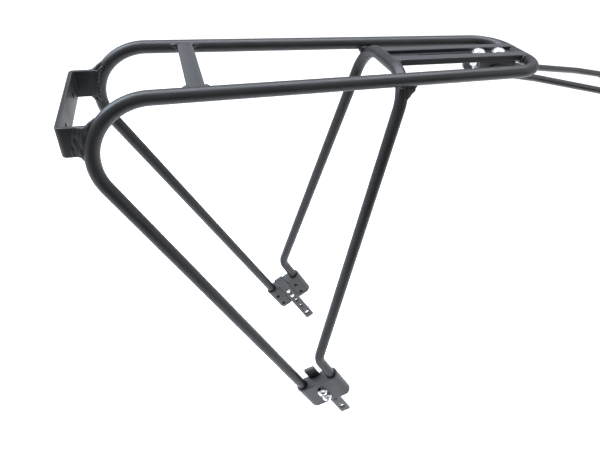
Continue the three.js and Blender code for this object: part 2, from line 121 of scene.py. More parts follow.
EYE_THICKNESS = 3.0
EYE_HOLE_RADIUS = 2.75
EYE_LENGTH = 15.0

# Fasteners. The gap is what keeps two resting skins apart.
SKIN_GAP = 0.05
STAY_GAP = 0.1
FOOT_WASHER = {"outer": 5.2, "bore": 2.55, "thickness": 1.2}
FOOT_SCREW = {
    "head_radius": 4.6, "head_height": 3.6, "socket": 2.0, "major": 2.35, "length": 17.4, "pitch": 0.8,
}
STAY_WASHER = {"outer": 6.0, "bore": 2.9, "thickness": 1.2}
STAY_BOLT = {
    "head_radius": 5.1, "head_height": 3.1, "socket": 2.1, "major": 2.75, "length": 13.7, "pitch": 1.0,
}
STAY_NUT = {"flats": 9.6, "bore": 2.75, "height": 4.8}
PIVOT_SCREW = {
    "head_radius": 4.4, "head_height": 2.9, "socket": 1.8, "major": 2.45, "length": 10.5, "pitch": 0.8,
}
PIVOT_NUT = {"flats": 8.0, "bore": 2.45, "height": 3.8}

# How far a cutting tool stands past the surface that it cuts.
OVERCUT = 2.0

X_AXIS, Y_AXIS, Z_AXIS = Vector((1, 0, 0)), Vector((0, 1, 0)), Vector((0, 0, 1))

# The deck frame in the row frame, in metres, from the cross plate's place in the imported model.
plate_low, plate_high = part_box("rear_cross_plate")
deck_origin = Vector(((plate_low.x + plate_high.x) / 2, 0, plate_high.z))
deck_origin -= Vector((PLATE_X, 0, PLATE_TOP)) / 1000
DECK = Matrix.Translation(deck_origin) @ Matrix.Scale(0.001, 4)
MIRROR = Matrix.Scale(-1, 4, Y_AXIS)
SIDES = {"left": Matrix.Identity(4), "right": MIRROR}
XY_TO_XZ = Matrix.Rotation(math.pi / 2, 4, "X")


# ---------- mesh tools ----------

def place_object(name, data):
    placed = bpy.data.objects.new(name, data)
    bpy.context.scene.collection.objects.link(placed)
    return placed


def new_solid(name, verts, faces):
    mesh = bpy.data.meshes.new(name)
    mesh.from_pydata([tuple(v) for v in verts], [], faces)
    return tidy(place_object(name, mesh))


def tidy(solid, merge=1e-4):
    """Merges doubled vertices and turns every face outwards."""
    work = bmesh.new()
    work.from_mesh(solid.data)
    bmesh.ops.remove_doubles(work, verts=work.verts, dist=merge)
    bmesh.ops.dissolve_degenerate(work, edges=work.edges, dist=merge)
    bmesh.ops.recalc_face_normals(work, faces=work.faces)
    work.to_mesh(solid.data)
    work.free()
    return solid


def settle(solid):
    """Makes the mesh what its modifiers show, and takes them off."""
    graph = bpy.context.evaluated_depsgraph_get()
    mesh = bpy.data.meshes.new_from_object(solid.evaluated_get(graph))
    solid.modifiers.clear()
    solid.data = mesh
    return solid


def combine(solid, operation, *tools):
    for tool in tools:
        step = solid.modifiers.new("combine", "BOOLEAN")
        step.operation = operation
        step.solver = "EXACT"
        step.object = tool
        settle(solid)
        bpy.data.objects.remove(tool)
    return solid


def cut(solid, *tools):
    return combine(solid, "DIFFERENCE", *tools)


def melt(solid, voxel, rounds):
    """Runs the surface together and softens its edges, as a casting or a weld."""
    step = solid.modifiers.new("melt", "REMESH")
    step.mode = "VOXEL"
    step.voxel_size = voxel
    soft = solid.modifiers.new("soften", "SMOOTH")
    soft.factor = 0.5
    soft.iterations = rounds
    return settle(solid)


def move(solid, matrix):
    solid.data.transform(matrix)
    if matrix.determinant() < 0:
        solid.data.flip_normals()
    return solid


def aim(origin, direction):
    """Puts what is drawn about Z at the origin, with its top towards the direction."""
    return Matrix.Translation(origin) @ direction.to_track_quat("Z", "Y").to_matrix().to_4x4()


def box(x0, x1, y0, y1, z0, z1):
    verts = [(x, y, z) for x in (x0, x1) for y in (y0, y1) for z in (z0, z1)]
    faces = [(0, 1, 3, 2), (4, 6, 7, 5), (0, 4, 5, 1), (2, 3, 7, 6), (0, 2, 6, 4), (1, 5, 7, 3)]
    return new_solid("tool", verts, faces)


def balls(name, drops, subdivisions):
    """One mesh of spheres, each given by its centre and radius."""
    work = bmesh.new()
    for centre, radius in drops:
        place = Matrix.Translation(centre)
        bmesh.ops.create_icosphere(work, subdivisions=subdivisions, radius=radius, matrix=place)
    mesh = bpy.data.meshes.new(name)
    work.to_mesh(mesh)
    work.free()
    return place_object(name, mesh)


def circle(radius, sides, x=0.0, y=0.0):
    turns = [2 * math.pi * k / sides for k in range(sides)]
    return [(x + radius * math.cos(a), y + radius * math.sin(a)) for a in turns]


def rounded(corners, radii, steps=5):
    """A closed outline through the corners, each rounded to its own radius."""
    outline = []
    count = len(corners)
    for i, corner in enumerate(corners):
        here = Vector(corner)
        radius = radii[i] if isinstance(radii, (list, tuple)) else radii
        to_before = (Vector(corners[i - 1]) - here).normalized()
        to_after = (Vector(corners[(i + 1) % count]) - here).normalized()
        if radius <= 0:
            outline.append(tuple(here))
            continue
        half = to_before.angle(to_after) / 2
        reach = radius / math.tan(half)
        centre = here + (to_before + to_after).normalized() * radius / math.sin(half)
        first = here + to_before * reach - centre
        last = here + to_after * reach - centre
        turn = first.angle_signed(last)
        for k in range(steps + 1):
            spoke = first.copy()
            spoke.rotate(Matrix.Rotation(-turn * k / steps, 2))
            outline.append(tuple(centre + spoke))
    return outline


def rectangle(x0, x1, y0, y1, radius, steps=5):
    return rounded([(x0, y0), (x1, y0), (x1, y1), (x0, y1)], radius, steps)


def slot_outline(x0, x1, y0, y1):
    """A slot with its two short sides fully round."""
    return rectangle(x0, x1, y0, y1, min(x1 - x0, y1 - y0) / 2 - 0.01, 12)


def half_circle(x, y, radius, first):
    """The points of half a circle about (x, y), from the angle first."""
    angles = [first + math.pi * k / 24 for k in range(25)]
    return [(x + radius * math.cos(a), y + radius * math.sin(a)) for a in angles]


def loft(name, rings):
    """A closed solid through rings that have the same number of points."""
    count = len(rings[0])
    verts = [point for ring in rings for point in ring]
    faces = []
    for i in range(len(rings) - 1):
        for k in range(count):
            here, beside = i * count + k, i * count + (k + 1) % count
            faces.append((here, beside, beside + count, here + count))
    faces.append(tuple(range(count)))
    faces.append(tuple((len(rings) - 1) * count + k for k in range(count)))
    return new_solid(name, verts, faces)


def sweep(name, section, frames):
    """A closed solid with the section laid at each frame: its origin, its x axis and its y axis."""
    return loft(name, [[o + a * x + b * y for x, y in section] for o, a, b in frames])


def prism(name, section, z0, z1):
    return sweep(name, section, [(Z_AXIS * z, X_AXIS, Y_AXIS) for z in (z0, z1)])


def bar_along_x(name, section, x0, x1):
    return sweep(name, section, [(X_AXIS * x, Y_AXIS, Z_AXIS) for x in (x0, x1)])


def lathe(name, profile, sides=48):
    """Turns a closed profile of (radius, height) about Z."""
    count = len(profile)
    verts = []
    for k in range(sides):
        angle = 2 * math.pi * k / sides
        verts += [Vector((r * math.cos(angle), r * math.sin(angle), z)) for r, z in profile]
    faces = []
    for k in range(sides):
        here, there = k * count, ((k + 1) % sides) * count
        for i in range(count):
            j = (i + 1) % count
            faces.append((here + i, there + i, there + j, here + j))
    return new_solid(name, verts, faces)


def flat_plate(name, outline, holes, z0, z1, edge):
    """A plate with holes whose edges are all broken by a small round."""
    curve = bpy.data.curves.new(name, "CURVE")
    curve.dimensions = "2D"
    curve.fill_mode = "BOTH"
    curve.extrude = (z1 - z0) / 2 - edge
    curve.bevel_depth = edge
    curve.bevel_resolution = 2
    curve.offset = -edge
    for points in [outline, *holes]:
        spline = curve.splines.new("POLY")
        spline.points.add(len(points) - 1)
        for point, (x, y) in zip(spline.points, points):
            point.co = (x, y, 0, 1)
        spline.use_cyclic_u = True
    drawn = place_object(name + "_outline", curve)
    graph = bpy.context.evaluated_depsgraph_get()
    mesh = bpy.data.meshes.new_from_object(drawn.evaluated_get(graph))
    bpy.data.objects.remove(drawn)
    plate = move(place_object(name, mesh), Matrix.Translation((0, 0, (z0 + z1) / 2)))
    return tidy(plate, 1e-3)


# ---------- bent tubes ----------

def bent_path(corners, radii, bend_step=1.5, straight_step=8.0):
    """Points and tangents along straight runs whose corners are rounded to their bend radii."""
    stations = []
    start = corners[0]
    for i in range(1, len(corners)):
        direction = (corners[i] - corners[i - 1]).normalized()
        if i == len(corners) - 1:
            end, turn = corners[i], 0.0
        else:
            onward = (corners[i + 1] - corners[i]).normalized()
            turn = direction.angle(onward)
            end = corners[i] - direction * radii[i - 1] * math.tan(turn / 2)
        steps = max(1, round((end - start).length / straight_step))
        for k in range(steps):
            stations.append((start.lerp(end, k / steps), direction))
        if turn:
            axis = direction.cross(onward).normalized()
            centre = end + axis.cross(direction) * radii[i - 1]
            bend_steps = max(4, round(turn * radii[i - 1] / bend_step))
            for k in range(bend_steps):
                turned = Quaternion(axis, turn * k / bend_steps)
                stations.append((centre + turned @ (end - centre), turned @ direction))
            start = centre + Quaternion(axis, turn) @ (end - centre)
        else:
            stations.append((end, direction))
    return stations


def carried_frames(stations):
    """Section axes carried along the path without twisting."""
    tangent = stations[0][1]
    across = tangent.orthogonal().normalized()
    frames = []
    for point, tangent in stations:
        across = (across - tangent * across.dot(tangent)).normalized()
        frames.append((point, across, tangent.cross(across)))
    return frames


def tube(name, stations):
    return sweep(name, circle(TUBE_RADIUS, 40), carried_frames(stations))


def both_sides(corners):
    return corners + [MIRROR @ c for c in reversed(corners)]


# The left foot's own axes: z up the diagonal tube, y outwards, x to the front leg.
foot_up = (DECK_REAR - DIAGONAL_FOOT).normalized()
straight_out = (Y_AXIS - foot_up * Y_AXIS.dot(foot_up)).normalized()
foot_out = Quaternion(foot_up, FOOT_TWIST) @ straight_out
foot_forward = foot_out.cross(foot_up)
FOOT = Matrix((foot_forward, foot_out, foot_up)).transposed().to_4x4()
FOOT.translation = DIAGONAL_FOOT

tube_end = SOCKET_FLOOR + TUBE_END_GAP
diagonal_end = FOOT @ Vector((0, 0, tube_end))
hoop_end = FOOT @ Vector((LEG_SPACING, 0, tube_end))
hoop_kink = FOOT @ Vector((LEG_SPACING, 0, KINK_HEIGHT))
LOOP = bent_path(
    both_sides([diagonal_end, DECK_REAR, DECK_FRONT]),
    [REAR_BEND, FRONT_BEND, FRONT_BEND, REAR_BEND],
)
HOOP = bent_path(
    both_sides([hoop_end, hoop_kink, HOOP_TOP]),
    [KINK_BEND, HOOP_BEND, HOOP_BEND, KINK_BEND],
)


# ---------- materials ----------

def material(name):
    made = bpy.data.materials.new(name)
    made.use_nodes = True
    nodes, links = made.node_tree.nodes, made.node_tree.links
    return made, nodes, links, nodes["Principled BSDF"]


def noise(nodes, links, scale, detail=3.0, stretch=(1, 1, 1)):
    place = nodes.new("ShaderNodeTexCoord")
    mapping = nodes.new("ShaderNodeMapping")
    mapping.inputs["Scale"].default_value = stretch
    texture = nodes.new("ShaderNodeTexNoise")
    texture.inputs["Scale"].default_value = scale
    texture.inputs["Detail"].default_value = detail
    links.new(place.outputs["Object"], mapping.inputs["Vector"])
    links.new(mapping.outputs["Vector"], texture.inputs["Vector"])
    return texture.outputs["Fac"]


def remap(nodes, links, value, low, high, start=0.3, end=0.7):
    spread = nodes.new("ShaderNodeMapRange")
    spread.inputs["From Min"].default_value = start
    spread.inputs["From Max"].default_value = end
    spread.inputs["To Min"].default_value = low
    spread.inputs["To Max"].default_value = high
    links.new(value, spread.inputs["Value"])
    return spread.outputs["Result"]


def blend_colour(nodes, links, factor, first, second):
    mix = nodes.new("ShaderNodeMix")
    mix.data_type = "RGBA"
    links.new(factor, mix.inputs["Factor"])
    for socket, value in ((mix.inputs[6], first), (mix.inputs[7], second)):
        if isinstance(value, tuple):
            socket.default_value = (*value, 1)
        else:
            links.new(value, socket)
    return mix.outputs[2]


def bump(nodes, links, height, strength, distance, under=None):
    node = nodes.new("ShaderNodeBump")
    node.inputs["Strength"].default_value = strength
    node.inputs["Distance"].default_value = distance
    links.new(height, node.inputs["Height"])
    if under is not None:
        links.new(under, node.inputs["Normal"])
    return node.outputs["Normal"]


def worn_edges(nodes, links):
    """High where the surface turns sharply outwards."""
    shape = nodes.new("ShaderNodeNewGeometry")
    return remap(nodes, links, shape.outputs["Pointiness"], 0.0, 1.0, 0.53, 0.62)


def powder_coat(name, colour, worn, roughness, peel, specular):
    """Black powder paint: orange peel, faint blotches, fine specks, and thinner, greyer paint on edges."""
    made, nodes, links, shader = material(name)
    blotch = noise(nodes, links, 35, 4)
    speck = noise(nodes, links, 2600, 2)
    paler = tuple(min(1.0, c * 1.45) for c in colour)
    base = blend_colour(nodes, links, remap(nodes, links, blotch, 0, 1), colour, paler)
    specked = blend_colour(nodes, links, remap(nodes, links, speck, 0, 0.25, 0.5, 0.8), base, worn)
    edge = worn_edges(nodes, links)
    links.new(blend_colour(nodes, links, edge, specked, worn), shader.inputs["Base Color"])
    rough = remap(nodes, links, blotch, roughness - 0.05, roughness + 0.07)
    links.new(rough, shader.inputs["Roughness"])
    skin = bump(nodes, links, noise(nodes, links, 900, 2), peel, 0.00012)
    grain = bump(nodes, links, speck, peel, 0.00003, skin)
    links.new(grain, shader.inputs["Normal"])
    shader.inputs["Specular IOR Level"].default_value = specular
    return made


def zinc_plate(name, colour, roughness):
    """Bright zinc on steel: fine turning lines and cloudy, duller patches."""
    made, nodes, links, shader = material(name)
    cloud = noise(nodes, links, 420, 4)
    lines = noise(nodes, links, 1500, 3, (1, 1, 6))
    dull = tuple(c * 0.72 for c in colour)
    base = blend_colour(nodes, links, remap(nodes, links, cloud, 0, 1, 0.45, 0.75), colour, dull)
    links.new(base, shader.inputs["Base Color"])
    rough = remap(nodes, links, cloud, roughness - 0.06, roughness + 0.14)
    links.new(rough, shader.inputs["Roughness"])
    links.new(bump(nodes, links, lines, 0.12, 0.00002), shader.inputs["Normal"])
    shader.inputs["Metallic"].default_value = 1.0
    return made


def plain_floor(name):
    made, nodes, links, shader = material(name)
    tone = remap(nodes, links, noise(nodes, links, 1.5, 2), 0.0, 1.0)
    colour = blend_colour(nodes, links, tone, (0.86, 0.86, 0.86), (0.9, 0.9, 0.9))
    links.new(colour, shader.inputs["Base Color"])
    shader.inputs["Emission Color"].default_value = (1, 1, 1, 1)
    shader.inputs["Emission Strength"].default_value = 0.5
    shader.inputs["Roughness"].default_value = 0.9
    shader.inputs["Specular IOR Level"].default_value = 0.1
    return made


def dark_card(name):
    made, nodes, links, shader = material(name)
    tone = remap(nodes, links, noise(nodes, links, 4, 2), 0.0, 1.0)
    colour = blend_colour(nodes, links, tone, (0.01, 0.01, 0.01), (0.015, 0.015, 0.015))
    links.new(colour, shader.inputs["Base Color"])
    shader.inputs["Roughness"].default_value = 1.0
    shader.inputs["Specular IOR Level"].default_value = 0.0
    return made


TUBE_COAT = powder_coat(
    "tube_powder_coat", (0.009, 0.009, 0.01), (0.035, 0.035, 0.038),
    roughness=0.42, peel=0.2, specular=0.34,
)
PLATE_COAT = powder_coat(
    "plate_powder_coat", (0.007, 0.007, 0.008), (0.035, 0.035, 0.038),
    roughness=0.42, peel=0.28, specular=0.3,
)
CASTING_COAT = powder_coat(
    "casting_coat", (0.02, 0.02, 0.022), (0.05, 0.05, 0.053),
    roughness=0.5, peel=0.5, specular=0.4,
)
STEEL_COAT = powder_coat(
    "steel_coat", (0.012, 0.012, 0.014), (0.07, 0.07, 0.076),
    roughness=0.36, peel=0.18, specular=0.45,
)
ZINC = zinc_plate("bright_zinc", (0.86, 0.87, 0.89), 0.26)


def hand_in(piece, body, slot, look, *nodes, crease=32):
    """Gives a finished piece its place in metres, its look and its body, and hides the CAD nodes it stands
    for.
    """
    move(piece, DECK)
    piece.data.materials.clear()
    piece.data.materials.append(look)
    for face in piece.data.polygons:
        face.use_smooth = True
    piece.data.set_sharp_from_angle(angle=math.radians(crease))
    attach(piece, body)
    if nodes:
        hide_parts(*nodes)
    return piece


# ---------- welds ----------

BEAD_VOXEL = 0.45
BEAD_ROUNDS = 3
FILLET_ROUNDS = 10
BEAD_GAP = 0.3
TOUCH_REACH = 16.0
BEAD_DROP = 1.7
CREASE_DROP = 2.3
WEB_STEP = 1.3
WEB_DROP = 3.0


def distance_to_path(point, stations):
    nearest = math.inf
    for (a, _), (b, _) in zip(stations, stations[1:]):
        along = b - a
        share = max(0.0, min(1.0, (point - a).dot(along) / along.length_squared))
        nearest = min(nearest, (point - a - along * share).length)
    return nearest


def touch(start, direction, stations, gap):
    """The point straight out from start that stands clear of the tube's skin by gap."""
    low, high = 0.0, TOUCH_REACH
    for _ in range(18):
        middle = (low + high) / 2
        if distance_to_path(start + direction * middle, stations) < TUBE_RADIUS + gap:
            low = middle
        else:
            high = middle
    return start + direction * high


def weld(name, drops, rounds):
    """A bead of overlapping drops, each a centre and a radius, run together into one skin."""
    uneven = [(centre, radius * (1 + 0.1 * math.sin(2.4 * i))) for i, (centre, radius) in enumerate(drops)]
    bead = melt(balls(name, uneven, 2), BEAD_VOXEL, rounds)
    return hand_in(bead, "frame", "tube_coat", TUBE_COAT, crease=80)


def spread(first, last, count):
    return [first + (last - first) * k / (count - 1) for k in range(count)]


def deck_half_width(x):
    share = (x - DECK_REAR.x) / (DECK_FRONT.x - DECK_REAR.x)
    return DECK_REAR.y + (DECK_FRONT.y - DECK_REAR.y) * share


def hoop_crease():
    """Drops along the two lines that stand just clear of both the left leg's bend and the deck tube."""
    stand_off = TUBE_RADIUS + 0.4
    deck = [(DECK_REAR, None), (DECK_FRONT, None)]
    bend = [place for place in carried_frames(HOOP) if place[0].y > 0 and place[0].z > -40]
    drops = []
    for origin, across, up in bend:
        ring = [origin + (across * x + up * y) for x, y in circle(stand_off, 90)]
        gaps = [distance_to_path(p, deck) - stand_off for p in ring]
        for k, gap in enumerate(gaps):
            if gap * gaps[k - 1] < 0:
                drops.append((ring[k], CREASE_DROP))
    return drops


def leg_web(direction, reach):
    """A triangle of weld between the deck tube's underside and the leg's front or rear face."""
    left_leg = [point for point, _ in HOOP if point.y > 0 and point.z > -60]
    deck = [Vector((point.x, deck_half_width(point.x), 0)) for point in left_leg]
    gaps = [(point - beside).length for point, beside in zip(left_leg, deck)]
    nearest = gaps.index(min(gaps))
    crest = left_leg[nearest]
    seam = (crest + deck[nearest]) / 2
    rows = round(reach / WEB_STEP)
    drops = []
    for k in range(rows):
        level = min(left_leg, key=lambda point: abs(point.z - crest.z + WEB_STEP * k))
        face = seam + (level - crest) + Vector((direction * (TUBE_RADIUS - WEB_DROP - 0.2), 0, 0))
        for i in range(rows - k):
            forward = direction * WEB_STEP * i
            sideways = deck_half_width(crest.x + forward) - deck_half_width(crest.x)
            drops.append((face + Vector((forward, sideways, 0)), WEB_DROP - 0.12 * (k + i)))
    return drops


def near_bend(z):
    """The left rear bend's centre line at a height."""
    rear = [p for p, _ in LOOP if p.y > 0 and p.x < 40]
    return min(rear, key=lambda p: abs(p.z - z))


def arm_weld(face, outwards, reach, size, rows):
    """A fillet between the bend and one face of the light bracket's arm, fading out along the arm."""
    drops = []
    for i, z in enumerate(spread(BAR_BOTTOM - reach, BAR_TOP + reach * 0.7, 34)):
        start = Vector((near_bend(z).x, face + (size - 2.0) * outwards, z))
        over = max(0.0, BAR_BOTTOM - z, z - BAR_TOP)
        seam = touch(start, -X_AXIS, LOOP, BEAD_GAP) + X_AXIS * (0.4 * over)
        drops.append((seam, size - 0.16 * over))
        if not BAR_BOTTOM + 1.0 < z < BAR_TOP - 1.0:
            continue
        for row in range(1, rows):
            shove = 0.4 * math.sin(0.55 * i + 2 * row)
            inset = min(0.45 * row, 1.4)
            back = seam + Vector((-1.9 * row + shove, -inset * outwards, 0))
            drops.append((back, size - 0.28 * row + 0.25 * math.sin(0.5 * i + 2 * row)))
    return drops


def plate_end_weld():
    """A bead under the cross plate's left end, and a fillet in the corner at each side of it."""
    half = PLATE_WIDTH / 2
    drops = []
    for x in spread(PLATE_X - half, PLATE_X + half, 11):
        start = Vector((x, deck_half_width(x), PLATE_BOTTOM - 0.3))
        drops.append((touch(start, -Y_AXIS, LOOP, BEAD_GAP), BEAD_DROP))
    for side in (-1, 1):
        for k in range(5):
            x = PLATE_X + side * (half + 0.5 + 1.1 * k)
            start = Vector((x, deck_half_width(x), 2.2 - 0.1 * k))
            drops.append((touch(start, -Y_AXIS, LOOP, -0.2 - 0.3 * k), 2.5 - 0.28 * k))
    return drops


def rail_end_weld(x, direction, path, left_free=0.0):
    """The bead under the rail's end and up its sides, leaving the underside's middle free if asked."""
    towards = X_AXIS * direction
    half = RAIL_WIDTH / 2
    drops = []
    for y in spread(-half, half, 30):
        if abs(y) >= left_free:
            start = Vector((x, y, RAIL_BOTTOM - 0.6))
            drops.append((touch(start, towards, path, BEAD_GAP), BEAD_DROP))
    for side in (-1, 1):
        for z in spread(RAIL_BOTTOM, 3.4, 4):
            start = Vector((x, side * (half + 0.3), z))
            drops.append((touch(start, towards, path, BEAD_GAP - 0.1), BEAD_DROP - 0.1))
    return drops


def build_welds():
    inner_face = BAR_HALF_WIDTH - BAR_THICKNESS
    beads = [
        ("leg_weld", hoop_crease() + leg_web(1, 11.0) + leg_web(-1, 4.0), BEAD_ROUNDS),
        ("light_arm_weld_outer", arm_weld(BAR_HALF_WIDTH, 1, reach=6.0, size=2.5, rows=5), FILLET_ROUNDS),
        ("light_arm_weld_inner", arm_weld(inner_face, -1, reach=3.0, size=1.6, rows=2), FILLET_ROUNDS),
        ("cross_plate_weld", plate_end_weld(), BEAD_ROUNDS),
    ]
    for side, turn in SIDES.items():
        for name, drops, rounds in beads:
            weld(f"{name}_{side}", [(turn @ centre, radius) for centre, radius in drops], rounds)
    weld("rail_weld_rear", rail_end_weld(HOOP_TOP.x, 1, HOOP), BEAD_ROUNDS)
    # The stay bracket slides under the rail's front end.
    bracket_room = BRACKET_HALF_WIDTH + 2.2
    weld("rail_weld_front", rail_end_weld(DECK_FRONT.x, -1, LOOP, bracket_room), BEAD_ROUNDS)


# ---------- frame pieces ----------

def build_tubes():
    hand_in(tube("main_loop_skin", LOOP), "frame", "tube_coat", TUBE_COAT, "main_loop_tube")
    hand_in(tube("front_hoop_skin", HOOP), "frame", "tube_coat", TUBE_COAT, "front_leg_hoop")


def build_cross_plate():
    half = PLATE_WIDTH / 2
    section = rectangle(-half, half, PLATE_BOTTOM, PLATE_TOP, 0.9)
    reach = deck_half_width(PLATE_X)
    ends = [(Vector((PLATE_X, y, 0)), X_AXIS, Z_AXIS) for y in (-reach, reach)]
    plate = cut(sweep("cross_plate_skin", section, ends), tube("tool", LOOP))
    hand_in(plate, "frame", "plate_coat", PLATE_COAT, "rear_cross_plate")


def build_rail():
    half, groove = RAIL_WIDTH / 2, GROOVE_WIDTH / 2
    corners = [
        (-half, RAIL_BOTTOM), (half, RAIL_BOTTOM), (half, RAIL_TOP),
        (groove, RAIL_TOP), (groove, GROOVE_FLOOR), (-groove, GROOVE_FLOOR),
        (-groove, RAIL_TOP), (-half, RAIL_TOP),
    ]
    section = rounded(corners, [0.5, 0.5, 1.1, 0.6, 0.5, 0.5, 0.6, 1.1])
    rail = bar_along_x("deck_rail_skin", section, HOOP_TOP.x, DECK_FRONT.x)
    slot = slot_outline(RAIL_SLOT_START, RAIL_SLOT_END, -RAIL_SLOT_WIDTH / 2, RAIL_SLOT_WIDTH / 2)
    through = prism("tool", slot, RAIL_BOTTOM - OVERCUT, GROOVE_FLOOR + OVERCUT)
    cut(rail, through, tube("tool", HOOP), tube("tool", LOOP))
    hand_in(rail, "frame", "plate_coat", PLATE_COAT, "deck_rail")


def build_light_bracket():
    middle = BAR_THICKNESS / 2
    back = BAR_BACK + middle
    side = BAR_HALF_WIDTH - middle
    corners = [Vector((BAR_ARM_END, side, 0)), Vector((back, side, 0))]
    path = bent_path(both_sides(corners), [BAR_BEND - middle] * 2, bend_step=0.4, straight_step=10)
    section = rectangle(-middle, middle, BAR_BOTTOM, BAR_TOP, 0.9)
    bar = sweep("light_bracket_skin", section, [(p, t.cross(Z_AXIS), Z_AXIS) for p, t in path])
    height = (BAR_TOP + BAR_BOTTOM) / 2
    deep = BAR_THICKNESS / 2 + OVERCUT
    holes = []
    for y in (-LIGHT_HOLE_SPACING / 2, LIGHT_HOLE_SPACING / 2):
        hole = prism("tool", circle(LIGHT_HOLE_RADIUS, 32), -deep, deep)
        holes.append(move(hole, aim(Vector((back, y, height)), X_AXIS)))
    cut(bar, *holes, tube("tool", LOOP))
    hand_in(bar, "frame", "plate_coat", PLATE_COAT, "rear_light_bracket")


# ---------- feet: x to the front leg, y outwards, z up along the tubes ----------

CASTING_VOXEL = 0.42
CASTING_ROUNDS = 5


def screw_slot():
    """The slot for the screws through the outer wall, open at the bottom and round at the top."""
    half = SLOT_WIDTH / 2
    outline = [(TONGUE_CENTRE - half, -OVERCUT), (TONGUE_CENTRE + half, -OVERCUT)]
    outline += half_circle(TONGUE_CENTRE, SLOT_TOP, half, 0.0)
    slot = prism("tool", outline, -LOBE_RADIUS - OVERCUT, OVERCUT - CHANNEL_FLOOR)
    return move(slot, XY_TO_XZ)


def foot_block(name):
    """Two round lobes joined by a web, with a socket for each tube and a channel for the tongue."""
    outline = half_circle(LEG_SPACING, 0.0, LOBE_RADIUS, -math.pi / 2)
    outline += half_circle(0.0, 0.0, LOBE_RADIUS, math.pi / 2)
    block = prism(name, outline, 0, BLOCK_HEIGHT)
    bore = TUBE_RADIUS + SOCKET_CLEARANCE
    above = BLOCK_HEIGHT + OVERCUT
    left, right = TONGUE_CENTRE - CHANNEL_WIDTH / 2, TONGUE_CENTRE + CHANNEL_WIDTH / 2
    tools = [prism("tool", circle(bore, 48, x), SOCKET_FLOOR, above) for x in (0.0, LEG_SPACING)]
    tools.append(box(left, right, -LOBE_RADIUS - OVERCUT, CHANNEL_FLOOR, -OVERCUT, above))
    tools.append(screw_slot())
    for x in DIMPLE_X:
        for z in DIMPLE_Z:
            centre = Vector((x, -LOBE_RADIUS - DIMPLE_STAND_OFF, z))
            tools.append(balls("tool", [(centre, DIMPLE_RADIUS)], 3))
    return melt(cut(block, *tools), CASTING_VOXEL, CASTING_ROUNDS)


def tongue(name):
    """The adjusting plate: screw holes, spare holes and the long hole for the dropout's screw."""
    half = TONGUE_WIDTH / 2
    outline = rectangle(TONGUE_CENTRE - half, TONGUE_CENTRE + half, TONGUE_BOTTOM, TONGUE_TOP, 2.0, 8)
    heights = [*SCREW_HEIGHTS.values(), *SPARE_HOLES]
    holes = [circle(SCREW_HOLE_RADIUS, 32, TONGUE_CENTRE, z) for z in heights]
    half_width, half_length = AXLE_HOLE_WIDTH / 2, AXLE_HOLE_LENGTH / 2
    holes.append(slot_outline(
        TONGUE_CENTRE - half_width, TONGUE_CENTRE + half_width,
        AXLE_HOLE_HEIGHT - half_length, AXLE_HOLE_HEIGHT + half_length,
    ))
    plate = flat_plate(name, outline, holes, -TONGUE_FACE, TONGUE_THICKNESS - TONGUE_FACE, 0.35)
    return move(plate, XY_TO_XZ)


# ---------- fasteners, drawn about Z with the head's seat at z = 0 ----------

def thread(name, major, length, pitch):
    """A shank with a helical thread and a narrow tip, from -length to just inside the head."""
    depth = 0.55 * pitch
    sides, rows_per_turn = 36, 8
    rows = math.ceil(length / pitch * rows_per_turn)
    rings = []
    for i in range(rows + 1):
        z = -length + (length + 0.2) * i / rows
        taper = min(1.0, 0.72 + 0.28 * (z + length) / (1.2 * pitch))
        ring = []
        for k in range(sides):
            phase = (z / pitch - k / sides) % 1.0
            ridge = 1 - abs(2 * phase - 1)
            radius = (major - depth * min(1.0, max(0.0, 1.15 - 1.3 * ridge))) * taper
            angle = 2 * math.pi * k / sides
            ring.append((radius * math.cos(angle), radius * math.sin(angle), z))
        rings.append(ring)
    return loft(name, rings)


def dome_head(name, radius, height, socket):
    """A button head with a hexagon socket."""
    rim, edge, steps = 0.45, 0.25, 13
    profile = [(0.0, 0.0), (radius - edge, 0.0), (radius, edge), (radius, rim)]
    for k in range(1, steps):
        angle = math.pi / 2 * k / steps
        profile.append((radius * math.cos(angle), rim + (height - rim) * math.sin(angle)))
    profile.append((0.0, height))
    key = prism("tool", circle(socket, 6), height * 0.38, height + OVERCUT)
    return cut(lathe(name, profile), key)


def screw(name, head_radius, head_height, socket, major, length, pitch):
    """A head and its threaded shank in one mesh."""
    body = dome_head(name, head_radius, head_height, socket)
    shank = thread("tool", major, length, pitch)
    work = bmesh.new()
    work.from_mesh(body.data)
    work.from_mesh(shank.data)
    work.to_mesh(body.data)
    work.free()
    bpy.data.objects.remove(shank)
    return body


def washer(name, outer, bore, thickness):
    edge = 0.18
    top = thickness - edge
    profile = [
        (bore, edge), (bore + edge, 0.0), (outer - edge, 0.0), (outer, edge),
        (outer, top), (outer - edge, thickness), (bore + edge, thickness), (bore, top),
    ]
    return lathe(name, profile)


def nut(name, flats, bore, height):
    """A hexagon nut with its corners turned off at both faces."""
    corner = flats / math.sqrt(3)
    flat, outside = flats / 2 - 0.1, corner + 0.05
    drop = (corner - flats / 2) * 0.675
    profile = [
        (0.0, 0.0), (flat, 0.0), (outside, drop), (outside, height - drop), (flat, height), (0.0, height),
    ]
    turned = lathe("tool", profile, 72)
    body = combine(prism(name, circle(corner, 6), 0, height), "INTERSECT", turned)
    mouth, flare, past = bore + 0.5, bore + 0.9, 1.0
    funnel = [
        (0.0, -past), (flare, -past), (mouth, 0.0), (bore, 0.5),
        (bore, height - 0.5), (mouth, height), (flare, height + past), (0.0, height + past),
    ]
    return cut(body, lathe("tool", funnel, 36))


